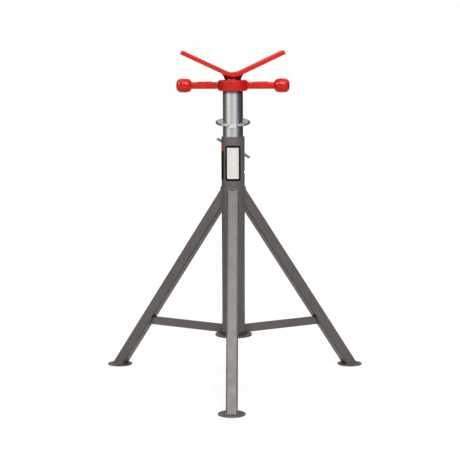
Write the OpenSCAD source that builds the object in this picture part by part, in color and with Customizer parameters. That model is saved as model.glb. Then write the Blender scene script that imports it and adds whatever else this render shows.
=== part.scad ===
// Pipe jack stand: three legs welded round a post, a tube that slides in the post and is
// held by a clamp screw and a canted lock ring, and a jack screw with a spin handle that
// lifts a swivelling V plate for the pipe.
// Origin on the floor under the post's axis, +Z up, the front leg points along -Y.

/* [Base] */
// Distance from the post's axis to the middle of each foot
foot_circle_r = 323.5; // [260:0.5:420]
// Diameter of a foot disc
foot_d = 59; // [50:0.5:90]
// Thickness of a foot disc
foot_t = 2.5; // [2:0.1:6]
// Distance from the top of the post down to where the centre lines of the legs meet its axis
leg_drop = 104; // [98:1:200]
// Width across the square leg tube
leg_w = 25.4; // [20:0.1:32]
// Wall of the leg tube
leg_wall = 2; // [1.5:0.1:3]
// Outer corner radius of the leg tube
leg_corner_r = 4; // [3.5:0.1:6]
// Height of the flat brace bars
brace_h = 19; // [14:0.5:30]
// Thickness of the flat brace bars
brace_t = 6; // [4:0.5:10]
// Height of the flange's underside above the floor
flange_z = 105; // [80:1:140]
// Diameter of the flange under the post
flange_d = 85; // [70:1:110]
// Thickness of the flange
flange_t = 4; // [3:0.5:8]
// Diameter of the drain hole in the flange
flange_hole_d = 26; // [10:1:34]

/* [Post] */
// Length of the post
post_len = 457; // [420:1:600]
// Wall of the post
post_wall = 3; // [2.5:0.1:5]
// Rounding of the post's upper outer edge
post_edge_r = 2; // [0.5:0.1:2.2]

/* [Sliding tube] */
// Outer diameter of the sliding tube
tube_d = 46; // [44:0.5:60]
// Wall of the sliding tube
tube_wall = 3; // [2:0.1:3.5]
// Tube that shows between the post and the handle when the stand is all the way down
tube_show = 103; // [80:1:200]
// Distance from the tube's lower end up to the middle of its slot's lower end
slot_land = 23; // [16:0.5:120]
// Gap between the tube and the post, on the radius
slide_gap = 0.5; // [0.3:0.05:1]

/* [Clamp screw] */
// Distance from the top of the post down to the clamp screw
clamp_drop = 31; // [25:1:60]
// Diameter of the clamp screw
clamp_d = 12; // [10:0.5:16]
// Thread pitch of the clamp screw
clamp_pitch = 1.75; // [1:0.05:3]
// Width across the flats of the nut welded on the post
clamp_nut_w = 24; // [20:0.5:32]
// Length of the nut from the face of the post
clamp_nut_len = 14; // [10:0.5:24]
// Screw that shows between the nut and the screw's head when clamped
clamp_show = 9; // [8:0.5:20]
// Diameter of the clamp screw's head
clamp_head_d = 17; // [15:0.5:24]
// Thickness of the swivel pad between the clamp screw and the tube
pad_t = 3; // [2.5:0.1:5]
// Diameter of the cross bar
bar_d = 6.9; // [5:0.1:9]
// Length of the cross bar
bar_len = 88; // [70:1:140]
// Slope of the cross bar when clamped
bar_slope = 30; // [0:1:180]

/* [Guide bolt] */
// Distance from the top of the post down to the guide bolt
guide_drop = 84; // [75:1:110]
// Diameter of the guide bolt's shank
guide_d = 8; // [6:0.5:10]
// Diameter of the guide bolt's low head
guide_head_d = 13; // [12:0.5:16]
// Height of the head above its spot face
guide_head_t = 2; // [1.5:0.1:4]

/* [Lock ring] */
// Outer diameter of the lock ring
ring_d = 79; // [70:1:110]
// Thickness of the lock ring
ring_t = 2.6; // [2:0.1:5]
// Tilt of the ring, its front edge down
ring_tilt = 11.5; // [0:0.5:14]
// Height of the ring's middle above the top of the post
ring_rise = 32; // [20:1:60]
// Width of the cut at the ring's front that holds the finger tab
tab_cut_w = 27; // [22:0.5:34]
// Width of the finger tab
tab_w = 16.5; // [10:0.5:18]
// Depth of the cut from the ring's outer edge
tab_cut_depth = 8; // [5:0.5:10]
// Angle that the finger tab is bent down
tab_bend = 28; // [0:1:40]

/* [Jack screw] */
// Major diameter of the jack screw
screw_d = 37.5; // [34:0.1:38.5]
// Thread pitch of the jack screw
screw_pitch = 6.35; // [4:0.05:8]
// How far the jack screw rises
screw_travel = 260; // [100:1:300]
// Plain land at the top of the screw
screw_land = 8; // [6:0.5:20]
// Screw that shows above the handle when it is all the way down
screw_show = 2.5; // [1:0.5:20]
// Thickness of the stop washer under the screw
stop_t = 4; // [3:0.5:8]
// Diameter of the stop bolt
stop_bolt_d = 10; // [8:0.5:14]
// Length of the stop bolt in the screw
stop_bolt_len = 22; // [16:1:40]

/* [Handle] */
// Diameter of the handle's hub
hub_d = 67; // [62:0.5:90]
// Height of the hub
hub_h = 24.5; // [18:0.5:40]
// Depth of the recess in the hub that sits over the tube
hub_recess = 6; // [5:0.5:10]
// Chamfer of the hub's edges
hub_chamfer = 2.5; // [1:0.1:4]
// Thickness of the thrust washer under the hub
washer_t = 2.5; // [1.5:0.1:4]
// Length of the handle over its two knobs
handle_span = 257.5; // [200:0.5:360]
// Height of a handle arm
arm_h = 15.5; // [10:0.5:18]
// Thickness of a handle arm
arm_t = 13; // [10:0.5:18]
// Edge radius of a handle arm
arm_edge_r = 4; // [2:0.5:4.5]
// Length of the raised pad on top of each arm
arm_pad_len = 31; // [20:1:40]
// Height of the raised pad on top of each arm
arm_pad_h = 1.4; // [0.5:0.1:3]
// Diameter of a knob
knob_d = 32.5; // [26:0.5:44]
// Length of a knob
knob_len = 34.7; // [26:0.1:48]
// Edge radius of a knob
knob_edge_r = 11; // [6:0.5:12]
// Turn of the handle, its +X end towards the front when negative
handle_yaw = -4; // [-90:1:90]

/* [Head] */
// Thickness of the V plate
v_t = 9; // [6:0.5:14]
// Width of the V plate along the pipe
v_depth = 48; // [46:1:90]
// Length of each straight arm of the V
v_arm = 107.5; // [80:0.5:160]
// Slope of the arms above level
v_slope = 25; // [15:1:35]
// Radius of the bend on the V's upper face
v_bend_r = 40; // [20:0.5:60]
// Height from the screw's top to the underside of the V
neck_h = 6; // [4:0.5:20]
// Diameter of the neck where it meets the V
neck_d = 44; // [40:0.5:50]
// Diameter of the head's stem
stem_d = 24; // [18:0.5:26]
// Length of the head's stem
stem_len = 45; // [30:1:60]
// Diameter of the screw that holds the stem
lock_screw_d = 6; // [4:0.5:7]
// Turn of the head, its -X end towards the front when positive
head_yaw = 7; // [-180:1:180]

/* [Labels] */
// Height of the front label
label_h = 80; // [50:1:110]
// Width of the front label, straight across
label_w = 34.4; // [20:0.1:40]
// Corner radius of the front label
label_corner_r = 4; // [1:0.5:8]
// Distance from the top of the post down to the labels
label_drop = 20; // [12:1:40]
// Thickness of the labels
label_t = 0.3; // [0.2:0.05:1]
// Height of the side label
side_label_h = 76; // [50:1:110]
// Angle from the front round to the near edge of the side label
side_label_start = 54; // [50:1:70]
// Angle that the side label covers
side_label_sweep = 74; // [30:1:90]

/* [Clearances] */
// Gap on the radius where a thread or a stem turns in its hole
running_gap = 0.1; // [0.05:0.01:0.1]
// Gap kept where two moving pieces pass each other
play = 0.4; // [0.3:0.05:0.6]
// Oil film between two flat faces that turn on each other
film_t = 0.05; // [0.02:0.01:0.1]
// Thickness of the glue under a label
glue_t = 0.05; // [0.02:0.01:0.1]

/* [Hidden] */
$fn = 96;

// Overshoot of a cut past the face that it opens
cut = 1;
// Directions of the legs round the post
FRONT = -90;
LEFT = 150;
RIGHT = 30;

// Radii
tube_r = tube_d / 2;
tube_bore_r = tube_r - tube_wall;
post_bore_r = tube_r + slide_gap;
post_r = post_bore_r + post_wall;
screw_r = screw_d / 2;
clamp_r = clamp_d / 2;
guide_r = guide_d / 2;
stem_r = stem_d / 2;
ring_r = ring_d / 2;

// Heights
post_z = flange_z + flange_t;
post_top = post_z + post_len;
clamp_z = post_top - clamp_drop;
guide_z = post_top - guide_drop;
slot_z = post_z + slot_land;
leg_apex_z = post_top - leg_drop;
ring_z = post_top + ring_rise;
hub_z = post_top + tube_show;
hub_ceiling = hub_z + hub_recess;
tube_top = hub_ceiling - film_t - washer_t;
hub_top = hub_z + hub_h;
arm_z = hub_z + hub_h / 2;
screw_top = hub_top + screw_show;
screw_bottom = tube_top - screw_travel;
v_bottom = screw_top + neck_h;

// Legs and braces
leg_lean = atan(foot_circle_r / (leg_apex_z - foot_t));
leg_len = norm([foot_circle_r, leg_apex_z - foot_t]);
function leg_inner_r(z) = (leg_apex_z - z) * tan(leg_lean) - leg_w / 2 / cos(leg_lean);

// Clamp screw, from the tube outwards along +Y
pad_y = tube_r + play;
pad_r = clamp_r - 1;
nose_r = clamp_r / 2.4;
nose_len = pad_t * 0.6;
shaft_y = pad_y + pad_t;
nut_end_y = post_r + clamp_nut_len;
head_y = nut_end_y + clamp_show;
bar_y = head_y + clamp_head_d / 2;
thread_depth_fine = 0.6;

// Guide bolt: its head sinks into a flat spot on the round post
spot_r = guide_head_d / 2 + play;
spot_x = sqrt(pow(post_r, 2) - pow(spot_r, 2));

// Lock ring: the tilted hole clears the upright tube
ring_hole_r = (tube_r + play + ring_t / 2 * sin(ring_tilt)) / cos(ring_tilt);
tab_root_r = ring_r - tab_cut_depth;

// Jack screw thread
thread_depth = screw_pitch / 2;
thread_crest = screw_pitch * 0.37;
thread_flank = thread_depth * tan(14.5);
thread_top = screw_top - screw_land;
thread_turns = floor((thread_top - screw_bottom - screw_pitch) / screw_pitch);
stop_washer_r = tube_bore_r - play;
washer_bore_r = screw_r + play;
stem_hole_len = stem_len + 2;
stop_bolt_head_w = stop_bolt_d * 1.6;
stop_bolt_head_h = stop_bolt_d * 0.64;

// Head: the lock screw's tip stands in a groove round the stem
groove_depth = 1.5;
bend_steps = 16;
lock_screw_z = (hub_z + hub_recess + hub_top) / 2;
groove_w = lock_screw_d + 2 * play;
lock_screw_in = stem_r - groove_depth + play;
lock_screw_out = screw_r - thread_depth - play;

// Colours as the photograph shows them
GREY = [0.44, 0.41, 0.39];
GALVANISED = [0.72, 0.73, 0.74];
ZINC = [0.75, 0.72, 0.71];
RED = [0.86, 0.2, 0.13];
BLACK = [0.09, 0.08, 0.08];
SILVER = [0.83, 0.81, 0.77];
BRASS = [0.75, 0.62, 0.33];

// General shapes
module rounded_rect(w, h, r) {
    square([w, h - 2 * r], center = true);
    square([w - 2 * r, h], center = true);
    for (x = [-1, 1], y = [-1, 1])
        translate([x * (w / 2 - r), y * (h / 2 - r)]) circle(r);
}

module disc(r, t, edge) {
    rotate_extrude()
        polygon([[0, 0], [r, 0], [r, t - edge], [r - edge, t], [0, t]]);
}

module ring(outer_r, inner_r, h) {
    difference() {
        cylinder(r = outer_r, h = h);
        translate([0, 0, -cut]) cylinder(r = inner_r, h = h + 2 * cut);
    }
}

// Points outward along +Y from a face at y
module along_y(y) {
    translate([0, y, 0]) rotate([-90, 0, 0]) children();
}

// Shaft with a ring groove for each turn of thread between z0 and z0 + turns * pitch
module grooved_shaft(r, depth, crest, flank, pitch, z0, turns, z_top) {
    grooves = [for (i = [0 : turns - 1]) let (z = z0 + i * pitch) each [
        [r, z + crest], [r - depth, z + crest + flank],
        [r - depth, z + pitch - flank], [r, z + pitch]]];
    rotate_extrude()
        polygon(concat([[0, z0], [r, z0]], grooves, [[r, z_top], [0, z_top]]));
}

// Fixed frame
module post() {
    color(GREY)
        difference() {
            rotate_extrude() {
                translate([0, post_z]) square([post_r, post_len - post_edge_r]);
                translate([0, post_z]) square([post_r - post_edge_r, post_len]);
                translate([post_r - post_edge_r, post_top - post_edge_r]) circle(post_edge_r);
            }
            translate([0, 0, post_z - cut]) cylinder(r = post_bore_r, h = post_len + 2 * cut);
            translate([0, 0, clamp_z]) along_y(0)
                cylinder(r = clamp_r + play, h = post_r + cut);
            translate([0, 0, guide_z]) rotate([0, 90, 0]) cylinder(r = guide_r, h = post_r + cut);
            translate([spot_x, 0, guide_z]) rotate([0, 90, 0])
                cylinder(r = spot_r, h = post_r);
        }
}

module post_flange() {
    color(GREY)
        difference() {
            translate([0, 0, flange_z]) disc(flange_d / 2, flange_t, flange_t / 6);
            translate([0, 0, flange_z - cut]) cylinder(d = flange_hole_d, h = flange_t + 2 * cut);
        }
}

module leg() {
    color(GREY)
        difference() {
            translate([foot_circle_r, 0, foot_t]) rotate([0, -leg_lean, 0])
                translate([0, 0, -leg_w]) linear_extrude(leg_len + leg_w) difference() {
                    rounded_rect(leg_w, leg_w, leg_corner_r);
                    rounded_rect(leg_w - 2 * leg_wall, leg_w - 2 * leg_wall,
                        leg_corner_r - leg_wall);
                }
            translate([0, 0, leg_apex_z / 2]) cylinder(r = post_r, h = leg_apex_z);
            translate([foot_circle_r - 3 * leg_w, -leg_w, foot_t - 2 * leg_w])
                cube([6 * leg_w, 2 * leg_w, 2 * leg_w]);
        }
}

module foot() {
    color(GREY) translate([foot_circle_r, 0, 0]) disc(foot_d / 2, foot_t, foot_t / 5);
}

module brace() {
    brace_top = post_z + brace_h;
    color(GREY)
        difference() {
            translate([0, brace_t / 2, 0]) rotate([90, 0, 0]) linear_extrude(brace_t)
                polygon([[0, post_z], [leg_inner_r(post_z), post_z],
                    [leg_inner_r(brace_top), brace_top], [0, brace_top]]);
            translate([0, 0, post_z - cut]) cylinder(r = post_r, h = brace_h + 2 * cut);
        }
}

module clamp_nut() {
    color(GREY)
        difference() {
            translate([0, 0, clamp_z]) along_y(0) rotate(30)
                cylinder(d = clamp_nut_w / cos(30), h = nut_end_y, $fn = 6);
            translate([0, 0, clamp_z]) along_y(0)
                cylinder(r = clamp_r + running_gap, h = nut_end_y + cut);
            translate([0, 0, clamp_z - clamp_nut_w]) cylinder(r = post_r, h = 2 * clamp_nut_w);
        }
}

module guide_bolt() {
    tip_x = tube_bore_r + play;
    color(ZINC) translate([0, 0, guide_z]) rotate([0, 90, 0]) {
        translate([0, 0, tip_x]) cylinder(r = guide_r, h = spot_x - tip_x);
        translate([0, 0, spot_x]) disc(guide_head_d / 2, guide_head_t, guide_head_t / 4);
    }
}

module label_band(start, sweep, h) {
    rotate(start) rotate_extrude(angle = sweep)
        translate([post_r + glue_t, 0]) square([label_t, h]);
}

module front_label() {
    band = 2 * asin(label_w / 2 / post_r) + 20;
    color(SILVER) translate([0, 0, post_top - label_drop - label_h])
        intersection() {
            translate([0, 0, -cut]) label_band(FRONT - band / 2, band, label_h + 2 * cut);
            translate([0, 0, label_h / 2]) rotate([90, 0, 0])
                linear_extrude(2 * post_r) rounded_rect(label_w, label_h, label_corner_r);
        }
}

module side_label() {
    color(BLACK) translate([0, 0, post_top - label_drop - (label_h + side_label_h) / 2])
        label_band(FRONT - side_label_start - side_label_sweep, side_label_sweep, side_label_h);
}

// Clamp screw
module clamp_pad() {
    color(BRASS)
        difference() {
            translate([0, 0, clamp_z]) along_y(pad_y) cylinder(r = pad_r, h = pad_t);
            translate([0, 0, clamp_z]) along_y(shaft_y - nose_len)
                cylinder(r = nose_r + running_gap, h = nose_len + cut);
        }
}

module clamp_screw() {
    crest = clamp_pitch * 0.3;
    flank = clamp_pitch * 0.3;
    shaft_len = head_y - shaft_y;
    color(ZINC)
        difference() {
            translate([0, 0, clamp_z]) along_y(0) {
                translate([0, 0, shaft_y - nose_len]) cylinder(r = nose_r, h = nose_len);
                grooved_shaft(clamp_r, thread_depth_fine, crest, flank, clamp_pitch, shaft_y,
                    floor(shaft_len / clamp_pitch), head_y);
                translate([0, 0, head_y + clamp_head_d]) mirror([0, 0, 1])
                    disc(clamp_head_d / 2, clamp_head_d, 1);
                translate([0, 0, head_y]) disc(clamp_head_d / 2, clamp_head_d, 1);
            }
            bar_line() cylinder(d = bar_d, h = 2 * clamp_head_d, center = true);
        }
}

module bar_line() {
    translate([0, bar_y, clamp_z]) rotate([0, 90 + bar_slope, 0]) children();
}

module clamp_bar() {
    end = bar_d / 6;
    color(ZINC) bar_line() {
        disc(bar_d / 2, bar_len / 2, end);
        mirror([0, 0, 1]) disc(bar_d / 2, bar_len / 2, end);
    }
}

// Sliding tube and lock ring: the tube slides until the guide bolt meets its slot's lower end
module inner_tube() {
    slot_r = guide_r + play;
    color(GALVANISED)
        difference() {
            translate([0, 0, post_z]) ring(tube_r, tube_bore_r, tube_top - post_z);
            translate([0, 0, guide_z]) rotate([0, 90, 0]) cylinder(r = slot_r, h = tube_d);
            translate([0, 0, slot_z]) rotate([0, 90, 0]) cylinder(r = slot_r, h = tube_d);
            translate([0, -slot_r, slot_z]) cube([tube_d, 2 * slot_r, guide_z - slot_z]);
        }
}

module thrust_washer() {
    color(ZINC) translate([0, 0, tube_top]) ring(tube_r, washer_bore_r, washer_t);
}

module lock_ring() {
    color(ZINC) translate([0, 0, ring_z]) rotate([ring_tilt, 0, 0]) translate([0, 0, -ring_t / 2])
        difference() {
            union() {
                difference() {
                    disc(ring_r, ring_t, ring_t / 5);
                    translate([-tab_cut_w / 2, -2 * ring_r, -cut])
                        cube([tab_cut_w, 2 * ring_r - tab_root_r, ring_t + 2 * cut]);
                }
                translate([0, -tab_root_r, 0]) rotate([tab_bend, 0, 0])
                    translate([-tab_w / 2, -tab_cut_depth, 0])
                        cube([tab_w, tab_cut_depth + ring_t / 2, ring_t]);
            }
            translate([0, 0, -ring_t]) cylinder(r = ring_hole_r, h = 3 * ring_t);
        }
}

// Spin handle
module knob() {
    rotate([0, 90, 0]) rotate_extrude() intersection() {
        rounded_rect(knob_d, knob_len, knob_edge_r);
        translate([0, -knob_len]) square([knob_d, 2 * knob_len]);
    }
}

module handle_arm() {
    inner_x = hub_d / 2 - hub_chamfer - 1;
    outer_x = handle_span / 2 - knob_len / 2;
    pad_x = (hub_d / 2 + outer_x - knob_len / 2) / 2 - arm_pad_len / 2;
    pad_w = arm_t - 2 * arm_edge_r;
    translate([inner_x, 0, 0]) rotate([90, 0, 90])
        linear_extrude(outer_x - inner_x) rounded_rect(arm_t, arm_h, arm_edge_r);
    translate([pad_x, -pad_w / 2, 0]) cube([arm_pad_len, pad_w, arm_h / 2 + arm_pad_h]);
    translate([outer_x, 0, 0]) knob();
}

module handle() {
    r = hub_d / 2;
    c = hub_chamfer;
    color(RED) rotate(handle_yaw)
        difference() {
            union() {
                translate([0, 0, hub_z]) rotate_extrude()
                    polygon([[0, 0], [r - c, 0], [r, c], [r, hub_h - c], [r - c, hub_h],
                        [0, hub_h]]);
                for (side = [0, 180]) translate([0, 0, arm_z]) rotate(side) handle_arm();
            }
            translate([0, 0, hub_z - cut]) cylinder(r = tube_r + play, h = hub_recess + cut);
            translate([0, 0, hub_z]) cylinder(r = screw_r + running_gap, h = hub_h + cut);
        }
}

// Jack screw
module jack_screw() {
    color(GALVANISED)
        difference() {
            grooved_shaft(screw_r, thread_depth, thread_crest, thread_flank, screw_pitch,
                screw_bottom, thread_turns, screw_top);
            translate([0, 0, screw_top - stem_hole_len])
                cylinder(r = stem_r + running_gap, h = stem_hole_len + cut);
            translate([0, 0, screw_bottom - cut])
                cylinder(d = stop_bolt_d, h = stop_bolt_len + cut);
            translate([0, 0, lock_screw_z]) rotate([90, 0, 0])
                cylinder(d = lock_screw_d, h = screw_d);
        }
}

module stop_washer() {
    color(ZINC) translate([0, 0, screw_bottom - stop_t])
        ring(stop_washer_r, stop_bolt_d / 2, stop_t);
}

module stop_bolt() {
    washer_z = screw_bottom - stop_t;
    color(ZINC) {
        translate([0, 0, washer_z]) cylinder(d = stop_bolt_d, h = stop_t + stop_bolt_len);
        translate([0, 0, washer_z - stop_bolt_head_h])
            cylinder(d = stop_bolt_head_w / cos(30), h = stop_bolt_head_h, $fn = 6);
    }
}

module head_lock_screw() {
    color(BLACK) translate([0, 0, lock_screw_z]) rotate([90, 0, 0])
        translate([0, 0, lock_screw_in])
            cylinder(d = lock_screw_d, h = lock_screw_out - lock_screw_in);
}

// Head
// Right half of a bent line at radius r round the bend's centre, ending in a straight arm
function bend_line(r) = concat(
    [for (i = [0 : bend_steps]) let (a = i / bend_steps * v_slope) r * [sin(a), -cos(a)]],
    [r * [sin(v_slope), -cos(v_slope)] + v_arm * [cos(v_slope), sin(v_slope)]]);
function mirrored(points) = [for (i = [len(points) - 1 : -1 : 1]) [-points[i][0], points[i][1]]];

// V plate, thick millimetres up from its underside
module v_solid(thick, depth) {
    outer_r = v_bend_r + v_t;
    under = bend_line(outer_r);
    over = bend_line(outer_r - thick);
    over_left = mirrored(over);
    under_left = mirrored(under);
    back = [for (i = [len(over) - 1 : -1 : 0]) over[i]];
    ahead = [for (i = [len(over_left) - 1 : -1 : 0]) over_left[i]];
    translate([0, depth / 2, v_bottom + outer_r]) rotate([90, 0, 0]) linear_extrude(depth)
        polygon(concat(under_left, under, back, ahead));
}

module v_plate() {
    color(RED) rotate(head_yaw) v_solid(v_t, v_depth);
}

module head_stem() {
    neck_top = neck_h + neck_d / 4;
    groove_z = lock_screw_z - groove_w / 2;
    color(RED) rotate(head_yaw) {
        difference() {
            translate([0, 0, screw_top]) rotate_extrude()
                polygon([[0, film_t], [screw_r, film_t], [neck_d / 2, neck_h + 1],
                    [neck_d / 2, neck_top], [0, neck_top]]);
            v_solid(v_bend_r, neck_d + 2 * cut);
        }
        difference() {
            translate([0, 0, screw_top - stem_len]) cylinder(r = stem_r, h = stem_len + neck_h / 2);
            translate([0, 0, groove_z]) ring(stem_r + cut, stem_r - groove_depth, groove_w);
        }
    }
}

post();
post_flange();
rotate(FRONT) leg();  // leg_front
rotate(LEFT) leg();  // leg_left
rotate(RIGHT) leg();  // leg_right
rotate(FRONT) foot();  // foot_front
rotate(LEFT) foot();  // foot_left
rotate(RIGHT) foot();  // foot_right
rotate(FRONT) brace();  // brace_front
rotate(LEFT) brace();  // brace_left
rotate(RIGHT) brace();  // brace_right
clamp_nut();
guide_bolt();
front_label();
side_label();
clamp_pad();
clamp_screw();
clamp_bar();
inner_tube();
thrust_washer();
lock_ring();
handle();
jack_screw();
stop_washer();
stop_bolt();
head_lock_screw();
head_stem();
v_plate();
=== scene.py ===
# %% [markdown]
# # A pipe jack stand
# The stand holds one end of a long pipe at working height. Three legs of square tube carry a round
# post, a galvanised tube slides in the post, and a jack screw with a red V head comes out of the tube.
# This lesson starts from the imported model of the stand, whose sizes are settled, and gives each piece
# the surface, the edges and the small forms of the real one. All lengths are in metres.

import math

import bmesh
import bpy
from mathutils import Matrix, Vector, noise


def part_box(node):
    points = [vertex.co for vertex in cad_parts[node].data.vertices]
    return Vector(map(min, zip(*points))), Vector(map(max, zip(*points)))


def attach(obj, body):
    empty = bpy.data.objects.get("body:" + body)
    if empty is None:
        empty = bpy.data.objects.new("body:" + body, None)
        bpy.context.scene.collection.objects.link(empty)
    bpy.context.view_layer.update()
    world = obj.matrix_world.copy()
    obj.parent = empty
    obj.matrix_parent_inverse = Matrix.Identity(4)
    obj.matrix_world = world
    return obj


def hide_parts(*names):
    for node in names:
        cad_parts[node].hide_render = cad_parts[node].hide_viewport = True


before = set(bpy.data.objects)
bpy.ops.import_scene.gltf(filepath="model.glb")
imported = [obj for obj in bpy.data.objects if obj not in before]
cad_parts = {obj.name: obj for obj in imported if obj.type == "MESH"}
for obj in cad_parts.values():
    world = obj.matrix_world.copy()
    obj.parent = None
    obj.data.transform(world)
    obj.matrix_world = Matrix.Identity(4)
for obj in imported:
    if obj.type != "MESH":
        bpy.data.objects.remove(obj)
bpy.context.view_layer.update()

# %% [markdown]
# ## The camera
# The photograph was taken from a little above the head, through a long lens: the feet on the left and
# the right stand only slightly higher in the picture than the front one. The place, the tilt and the
# small turn of the camera were worked out from the feet, the knobs and the tips of the V, so they are
# given as plain numbers here.

# %% Place the camera
IMAGE_WIDTH = 460
FOCAL_PIXELS = 1429.5
SENSOR_WIDTH = 36.0
CAMERA_PLACE = (0.0465, -3.2606, 0.7671)
CAMERA_DOWN = math.radians(7.281)
CAMERA_TURN = math.radians(0.951)
CAMERA_ROLL = math.radians(-0.215)

scene = bpy.context.scene


def placed(name, data):
    """New object in the scene that shows a mesh, a lamp or a camera."""
    made = bpy.data.objects.new(name, data)
    scene.collection.objects.link(made)
    return made


camera_data = bpy.data.cameras.new("camera")
camera_data.sensor_width = SENSOR_WIDTH
camera_data.lens = FOCAL_PIXELS / IMAGE_WIDTH * SENSOR_WIDTH
camera = placed("camera", camera_data)
camera.matrix_world = (Matrix.Translation(CAMERA_PLACE) @ Matrix.Rotation(CAMERA_TURN, 4, "Z")
                       @ Matrix.Rotation(math.pi / 2 - CAMERA_DOWN, 4, "X")
                       @ Matrix.Rotation(CAMERA_ROLL, 4, "Z"))
scene.camera = camera
scene.view_settings.view_transform = "Standard"
print("lens", round(camera_data.lens, 2), "mm")

# %% [markdown]
# ## A short way to write nodes
# The materials, the studio's light and the pieces that Geometry Nodes grow are all trees of nodes.
# Joining nodes by hand takes many lines. So `Wire` wraps one output of a node and lets Python's own
# operators add the Math nodes, and every other node comes from the method `node` of `Tree`.

# %% Wire
class Wire:
    """One output of a node, which + - * / and the methods below work on."""

    def __init__(self, tree, socket):
        self.tree = tree
        self.socket = socket

    def maths(self, operation, *values):
        return self.tree.node("ShaderNodeMath", {"operation": operation}, dict(enumerate(values)))

    def __add__(self, other):
        return self.maths("ADD", self, other)

    def __sub__(self, other):
        return self.maths("SUBTRACT", self, other)

    def __rsub__(self, other):
        return self.maths("SUBTRACT", other, self)

    def __mul__(self, other):
        return self.maths("MULTIPLY", self, other)

    def __truediv__(self, other):
        return self.maths("DIVIDE", self, other)

    def __rtruediv__(self, other):
        return self.maths("DIVIDE", other, self)

    __radd__ = __add__
    __rmul__ = __mul__

    def larger(self, other):
        return self.maths("MAXIMUM", self, other)

    def smaller(self, other):
        return self.maths("MINIMUM", self, other)

    def size(self):
        return self.maths("ABSOLUTE", self)

    def sine(self):
        return self.maths("SINE", self)

    def root(self):
        return self.maths("SQRT", self)

    def distance(self, other):
        """Length of the slanting side over this and the other."""
        return (self * self + other * other).root()

    def angle(self, other):
        """Angle in radians of a line that goes this far across and the other ahead."""
        return self.maths("ARCTAN2", self, other)

    def ramp(self, low, high, to_low=0.0, to_high=1.0):
        """Straight change from to_low at low to to_high at high, held level outside."""
        return self.tree.node("ShaderNodeMapRange", {"clamp": True},
                              {0: self, 1: low, 2: high, 3: to_low, 4: to_high})

    def band(self, start, full, fading, end):
        """0 up to start, 1 from full to fading, and 0 again from end."""
        return self.ramp(start, full) * self.ramp(fading, end, 1, 0)

    def beside(self, output):
        """Another output of the same node."""
        return Wire(self.tree, self.socket.node.outputs[output])


# %% Tree
class Tree:
    """A tree of nodes and the methods that add to it."""

    def __init__(self, group):
        self.group = group

    def node(self, kind, settings=None, inputs=None, output=0):
        """Wire from one output of a new node. Its settings come first, then its inputs."""
        made = self.group.nodes.new(kind)
        settings = dict(settings or {})
        stops = settings.pop("stops", None)
        for setting, value in settings.items():
            setattr(made, setting, value)
        if stops:
            elements = made.color_ramp.elements
            while len(elements) < len(stops):
                elements.new(1.0)
            for element, (place, colour) in zip(elements, stops):
                element.position = place
                element.color = colour
        for socket, value in (inputs or {}).items():
            if isinstance(value, Wire):
                self.group.links.new(value.socket, made.inputs[socket])
            else:
                made.inputs[socket].default_value = value
        return Wire(self, made.outputs[output]) if made.outputs else None

    def here(self):
        """The point's place on the object, in metres."""
        return self.node("ShaderNodeTexCoord", output="Object")

    def axes(self):
        """The point's X, Y and Z."""
        x = self.node("ShaderNodeSeparateXYZ", {}, {0: self.here()})
        return x, x.beside(1), x.beside(2)

    def mix(self, share, first, second):
        """Colour between first and second. A colour is three linear numbers or a wire."""
        colours = [value if isinstance(value, Wire) else (*value, 1.0) for value in (first, second)]
        return self.node("ShaderNodeMix", {"data_type": "RGBA", "clamp_factor": True},
                         {0: share, 6: colours[0], 7: colours[1]}, output=2)


# %% [markdown]
# A finish is one material. What varies over its surface ends in the shader's colour, roughness, metallic
# or normal socket, and every constant is written on the shader's own socket.

# %% Finish
class Finish(Tree):
    """A material with one Principled shader, and the methods that build its nodes."""

    def __init__(self, name, **fixed):
        self.material = bpy.data.materials.new(name)
        self.material.use_nodes = True
        super().__init__(self.material.node_tree)
        self.shader = self.group.nodes["Principled BSDF"]
        for socket, value in fixed.items():
            self.shader.inputs[socket.replace("_", " ")].default_value = value

    def set(self, **wires):
        for socket, wire in wires.items():
            self.group.links.new(wire.socket, self.shader.inputs[socket.replace("_", " ")])

    def so_far(self, socket):
        """The wire that feeds one of the shader's sockets so far."""
        return Wire(self, self.shader.inputs[socket].links[0].from_socket)

    def noise(self, scale, detail=2.0, roughness=0.5, stretch=(1, 1, 1)):
        """Cloudy noise from 0 to 1. Its lumps are about 1 / scale / stretch metres across."""
        place = self.node("ShaderNodeMapping", {"vector_type": "POINT"}, {0: self.here(), 3: stretch})
        return self.node("ShaderNodeTexNoise", {"noise_dimensions": "3D"},
                         {"Vector": place, "Scale": scale, "Detail": detail, "Roughness": roughness})

    def bump(self, height, distance):
        """Relief of the given height in metres, added to what the Normal socket has already."""
        inputs = {"Strength": 1.0, "Distance": distance, "Height": height}
        if self.shader.inputs["Normal"].is_linked:
            inputs["Normal"] = self.so_far("Normal")
        self.set(Normal=self.node("ShaderNodeBump", {}, inputs))


# %% [markdown]
# ## Sizes of the frame
# The three legs lean in to the post, each held at its foot by a brace. These are the model's own sizes.
# They come first because the paint as well as the welds has to know where the legs and the post are.

# %% Sizes of the frame
POST_RADIUS = 0.0265
POST_FOOT = 0.109
BRACE_TOP = 0.128
FOOT_CIRCLE = 0.3235
FOOT_THICK = 0.0025
LEG_APEX = 0.462
LEG_HALF = 0.0127
LEG_LEAN = math.atan(FOOT_CIRCLE / (LEG_APEX - FOOT_THICK))
SIN_LEAN = math.sin(LEG_LEAN)
COS_LEAN = math.cos(LEG_LEAN)


def inner_face(height):
    """Distance of a leg's inner face from the stand's axis at a height, which is a number or a wire."""
    return (LEG_APEX - height) * SIN_LEAN / COS_LEAN - LEG_HALF / COS_LEAN


print("the legs lean", round(math.degrees(LEG_LEAN), 1), "degrees")

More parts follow.
